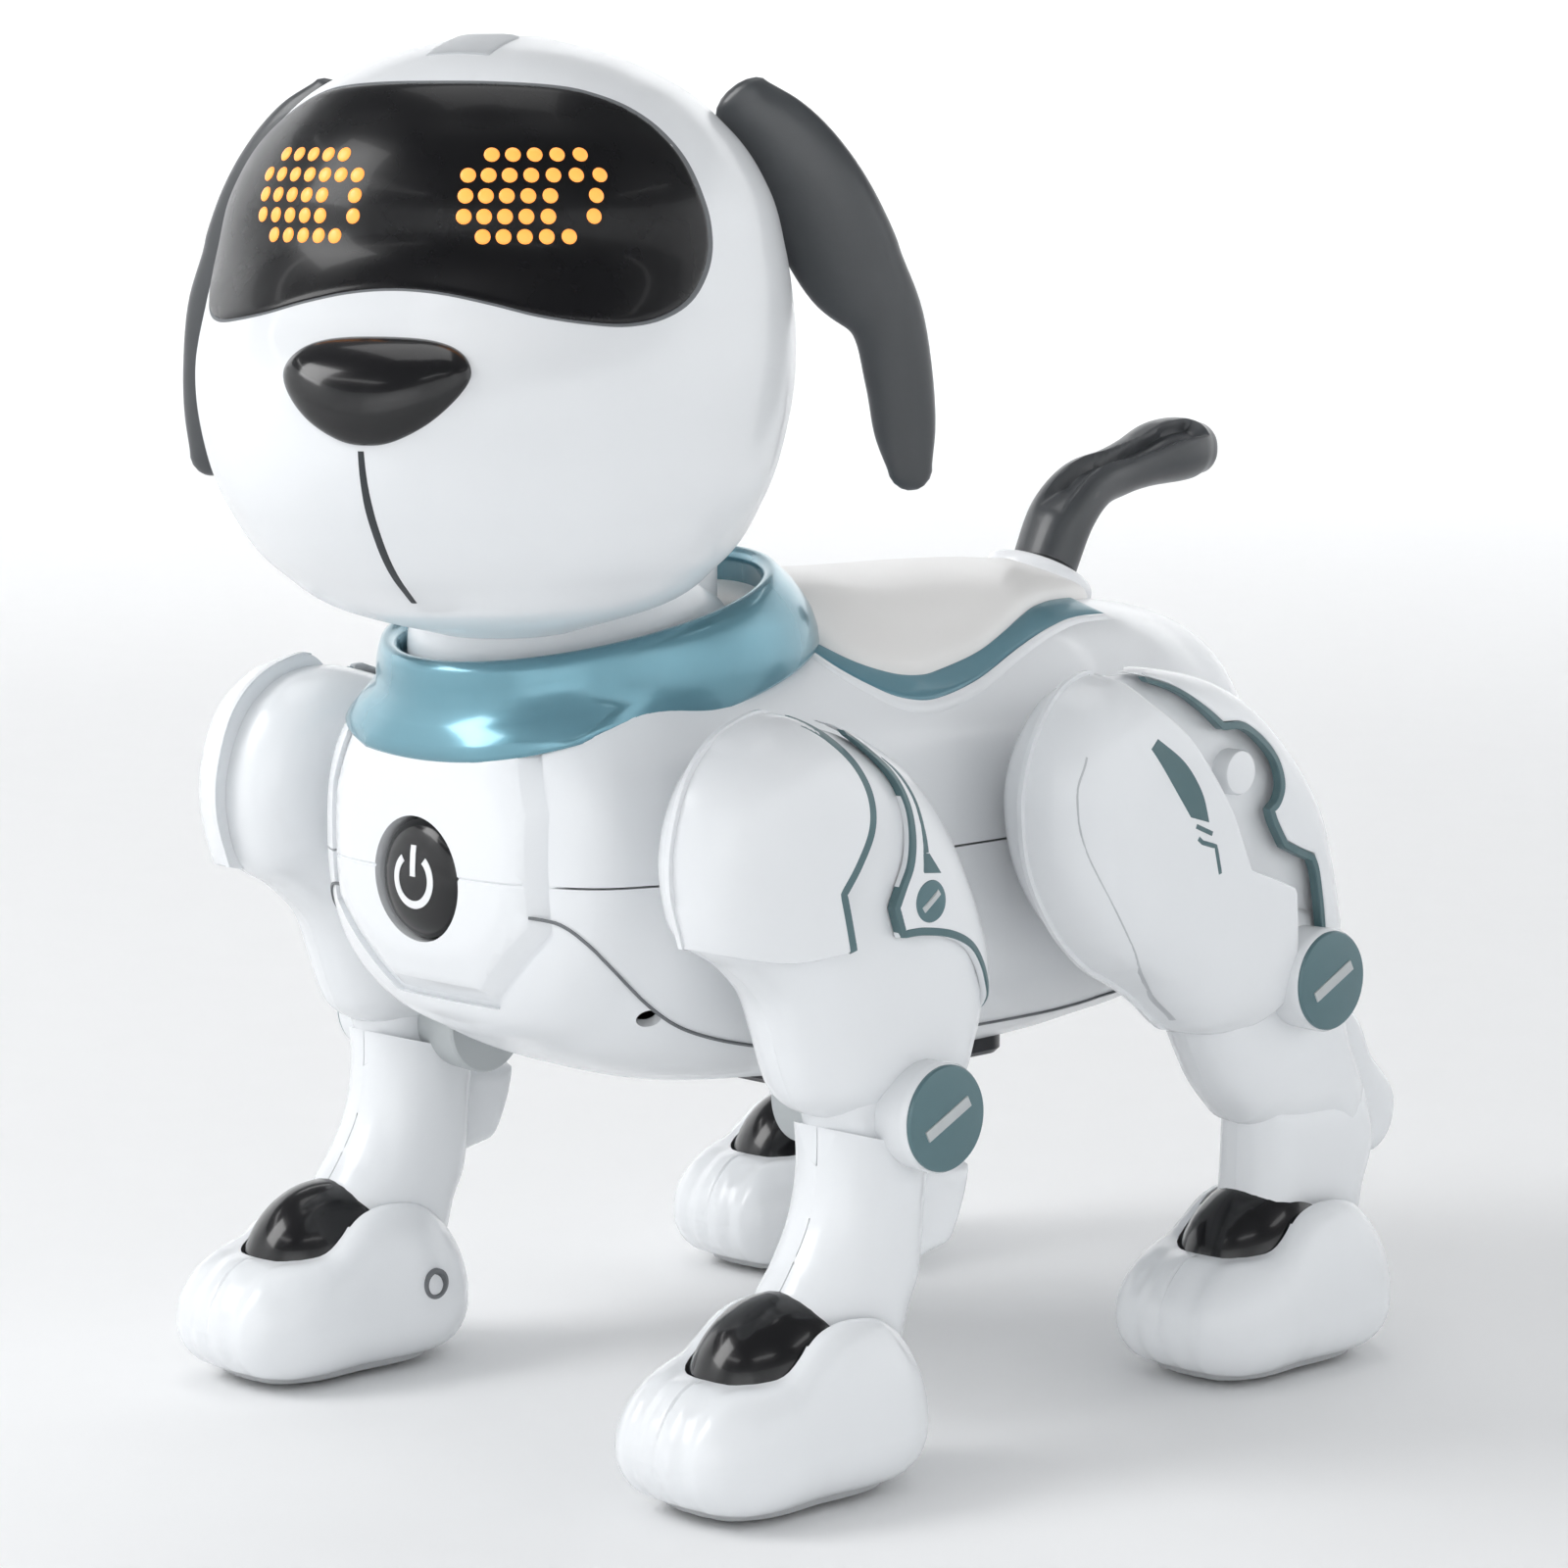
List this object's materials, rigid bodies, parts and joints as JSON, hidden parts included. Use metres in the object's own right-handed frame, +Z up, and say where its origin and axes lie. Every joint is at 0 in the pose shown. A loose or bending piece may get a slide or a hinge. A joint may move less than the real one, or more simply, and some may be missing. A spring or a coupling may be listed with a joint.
{
  "type": "robot dog toy",
  "caption": "Standing robot dog toy with a turning head, lamp-eye visor, hanging ears, tilted collar, domed leg drives, hinged knees and ankles, and rollers in the paws.",
  "frame": {"origin": "on the ground, midway between the four paws", "axes": "+Z up, the dog looks along -Y, its own left side is +X"},
  "size_m": [0.1732, 0.293, 0.272],
  "materials": {
    "white_shell": "gloss moulded white plastic",
    "cover_white": "soft gloss warm white plastic",
    "collar_teal": "metallic teal paint on plastic, semi-gloss",
    "trim_teal": "slate teal painted plastic",
    "stripe_blue": "blue-teal painted stripe",
    "dark_grey": "satin dark grey plastic",
    "gloss_black": "high gloss black plastic",
    "grey_trim": "light grey plastic",
    "steel_screw": "zinc plated steel",
    "board_green": "solder mask green",
    "lamp_amber": "amber lamp lenses",
    "gearbox_grey": "grey nylon housing",
    "cell_blue": "shrink wrapped cell",
    "roller_rubber": "grip rubber"
  },
  "bodies": {
    "torso": {"body_upper_shell": "white_shell", "body_lower_shell": "white_shell", "chest_panel": "white_shell", "body_screws": "steel_screw", "battery_cover": "gloss_black", "battery_pack": "cell_blue", "main_board": "board_green", "speaker": "gearbox_grey", "front_gearboxes": "gearbox_grey", "rear_gearboxes": "gearbox_grey", "neck_gearbox": "gearbox_grey", "neck_collar": "collar_teal", "back_cover": "cover_white", "back_trim": "stripe_blue", "tail_socket": "white_shell"},
    "head": {"head_front_shell": "white_shell", "head_rear_shell": "white_shell", "visor": "gloss_black", "touch_pad": "grey_trim", "nose": "gloss_black", "lamp_board": "board_green", "eye_lamps": "lamp_amber", "neck_tube": "white_shell", "head_screws": "steel_screw"},
    "left_ear": {"left_ear": "dark_grey"},
    "right_ear": {"right_ear": "dark_grey"},
    "tail": {"tail": "dark_grey"},
    "power_button": {"power_button": "gloss_black"},
    "left_front_upper_leg": {"left_front_upper_outer": "white_shell", "left_front_upper_inner": "white_shell", "left_front_knee_cap": "trim_teal"},
    "left_front_lower_leg": {"left_front_shin": "white_shell", "left_front_ankle_cap": "gloss_black"},
    "left_front_paw": {"left_front_foot": "white_shell"},
    "left_front_roller": {"left_front_roller": "roller_rubber"},
    "left_rear_upper_leg": {"left_rear_upper_outer": "white_shell", "left_rear_upper_inner": "white_shell", "left_rear_knee_cap": "trim_teal"},
    "left_rear_lower_leg": {"left_rear_shin": "white_shell", "left_rear_ankle_cap": "gloss_black"},
    "left_rear_paw": {"left_rear_foot": "white_shell"},
    "left_rear_roller": {"left_rear_roller": "roller_rubber"},
    "right_front_upper_leg": {"right_front_upper_outer": "white_shell", "right_front_upper_inner": "white_shell", "right_front_knee_cap": "trim_teal"},
    "right_front_lower_leg": {"right_front_shin": "white_shell", "right_front_ankle_cap": "gloss_black"},
    "right_front_paw": {"right_front_foot": "white_shell"},
    "right_front_roller": {"right_front_roller": "roller_rubber"},
    "right_rear_upper_leg": {"right_rear_upper_outer": "white_shell", "right_rear_upper_inner": "white_shell", "right_rear_knee_cap": "trim_teal"},
    "right_rear_lower_leg": {"right_rear_shin": "white_shell", "right_rear_ankle_cap": "gloss_black"},
    "right_rear_paw": {"right_rear_foot": "white_shell"},
    "right_rear_roller": {"right_rear_roller": "roller_rubber"}
  },
  "joints": [
    {"name": "neck_turn", "type": "hinge", "parent": "torso", "child": "head", "pos_m": [0, -0.058, 0.137], "axis": [0, 0, 1], "range_deg": [-65, 5]},
    {"name": "left_ear_swing", "type": "hinge", "parent": "head", "child": "left_ear", "pos_m": [0.0453, -0.05029, 0.2503], "axis": [0.8634, 0.5045, 0], "range_deg": [-8, 8]},
    {"name": "right_ear_swing", "type": "hinge", "parent": "head", "child": "right_ear", "pos_m": [-0.02895, -0.09368, 0.2503], "axis": [0.8634, 0.5045, 0], "range_deg": [-8, 8]},
    {"name": "tail_swivel", "type": "hinge", "parent": "torso", "child": "tail", "pos_m": [0, 0.078, 0.163], "axis": [0, 0.475, 0.88], "range_deg": [-40, 40]},
    {"name": "power_button_press", "type": "slide", "parent": "torso", "child": "power_button", "axis": [0, 1, 0], "range_m": [0, 0.0015], "stiffness_N_per_m": 400, "springref_m": -0.001},
    {"name": "left_shoulder", "type": "hinge", "parent": "torso", "child": "left_front_upper_leg", "pos_m": [0.066, -0.076, 0.126], "axis": [1, 0, 0], "range_deg": [-80, 14]},
    {"name": "left_front_knee", "type": "hinge", "parent": "left_front_upper_leg", "child": "left_front_lower_leg", "pos_m": [0.066, -0.0403, 0.0711], "axis": [1, 0, 0], "range_deg": [-12, 20]},
    {"name": "left_front_ankle", "type": "hinge", "parent": "left_front_lower_leg", "child": "left_front_paw", "pos_m": [0.0668, -0.068, 0.02], "axis": [1, 0, 0], "range_deg": [-8, 8]},
    {"name": "left_front_roller_spin", "type": "hinge", "parent": "left_front_paw", "child": "left_front_roller", "pos_m": [0.0668, -0.07, 0.0045], "axis": [1, 0, 0], "continuous": true},
    {"name": "left_hip", "type": "hinge", "parent": "torso", "child": "left_rear_upper_leg", "pos_m": [0.066, 0.024, 0.118], "axis": [1, 0, 0], "range_deg": [-20, 60]},
    {"name": "left_rear_knee", "type": "hinge", "parent": "left_rear_upper_leg", "child": "left_rear_lower_leg", "pos_m": [0.066, 0.0736, 0.0828], "axis": [1, 0, 0], "range_deg": [-12, 20]},
    {"name": "left_rear_ankle", "type": "hinge", "parent": "left_rear_lower_leg", "child": "left_rear_paw", "pos_m": [0.0668, 0.072, 0.02], "axis": [1, 0, 0], "range_deg": [-8, 8]},
    {"name": "left_rear_roller_spin", "type": "hinge", "parent": "left_rear_paw", "child": "left_rear_roller", "pos_m": [0.0668, 0.07, 0.0045], "axis": [1, 0, 0], "continuous": true},
    {"name": "right_shoulder", "type": "hinge", "parent": "torso", "child": "right_front_upper_leg", "pos_m": [-0.066, -0.076, 0.126], "axis": [1, 0, 0], "range_deg": [-80, 14]},
    {"name": "right_front_knee", "type": "hinge", "parent": "right_front_upper_leg", "child": "right_front_lower_leg", "pos_m": [-0.066, -0.0403, 0.0711], "axis": [1, 0, 0], "range_deg": [-12, 20]},
    {"name": "right_front_ankle", "type": "hinge", "parent": "right_front_lower_leg", "child": "right_front_paw", "pos_m": [-0.0668, -0.068, 0.02], "axis": [1, 0, 0], "range_deg": [-8, 8]},
    {"name": "right_front_roller_spin", "type": "hinge", "parent": "right_front_paw", "child": "right_front_roller", "pos_m": [-0.0668, -0.07, 0.0045], "axis": [1, 0, 0], "continuous": true},
    {"name": "right_hip", "type": "hinge", "parent": "torso", "child": "right_rear_upper_leg", "pos_m": [-0.066, 0.024, 0.118], "axis": [1, 0, 0], "range_deg": [-20, 60]},
    {"name": "right_rear_knee", "type": "hinge", "parent": "right_rear_upper_leg", "child": "right_rear_lower_leg", "pos_m": [-0.066, 0.0736, 0.0828], "axis": [1, 0, 0], "range_deg": [-12, 20]},
    {"name": "right_rear_ankle", "type": "hinge", "parent": "right_rear_lower_leg", "child": "right_rear_paw", "pos_m": [-0.0668, 0.072, 0.02], "axis": [1, 0, 0], "range_deg": [-8, 8]},
    {"name": "right_rear_roller_spin", "type": "hinge", "parent": "right_rear_paw", "child": "right_rear_roller", "pos_m": [-0.0668, 0.07, 0.0045], "axis": [1, 0, 0], "continuous": true}
  ]
}
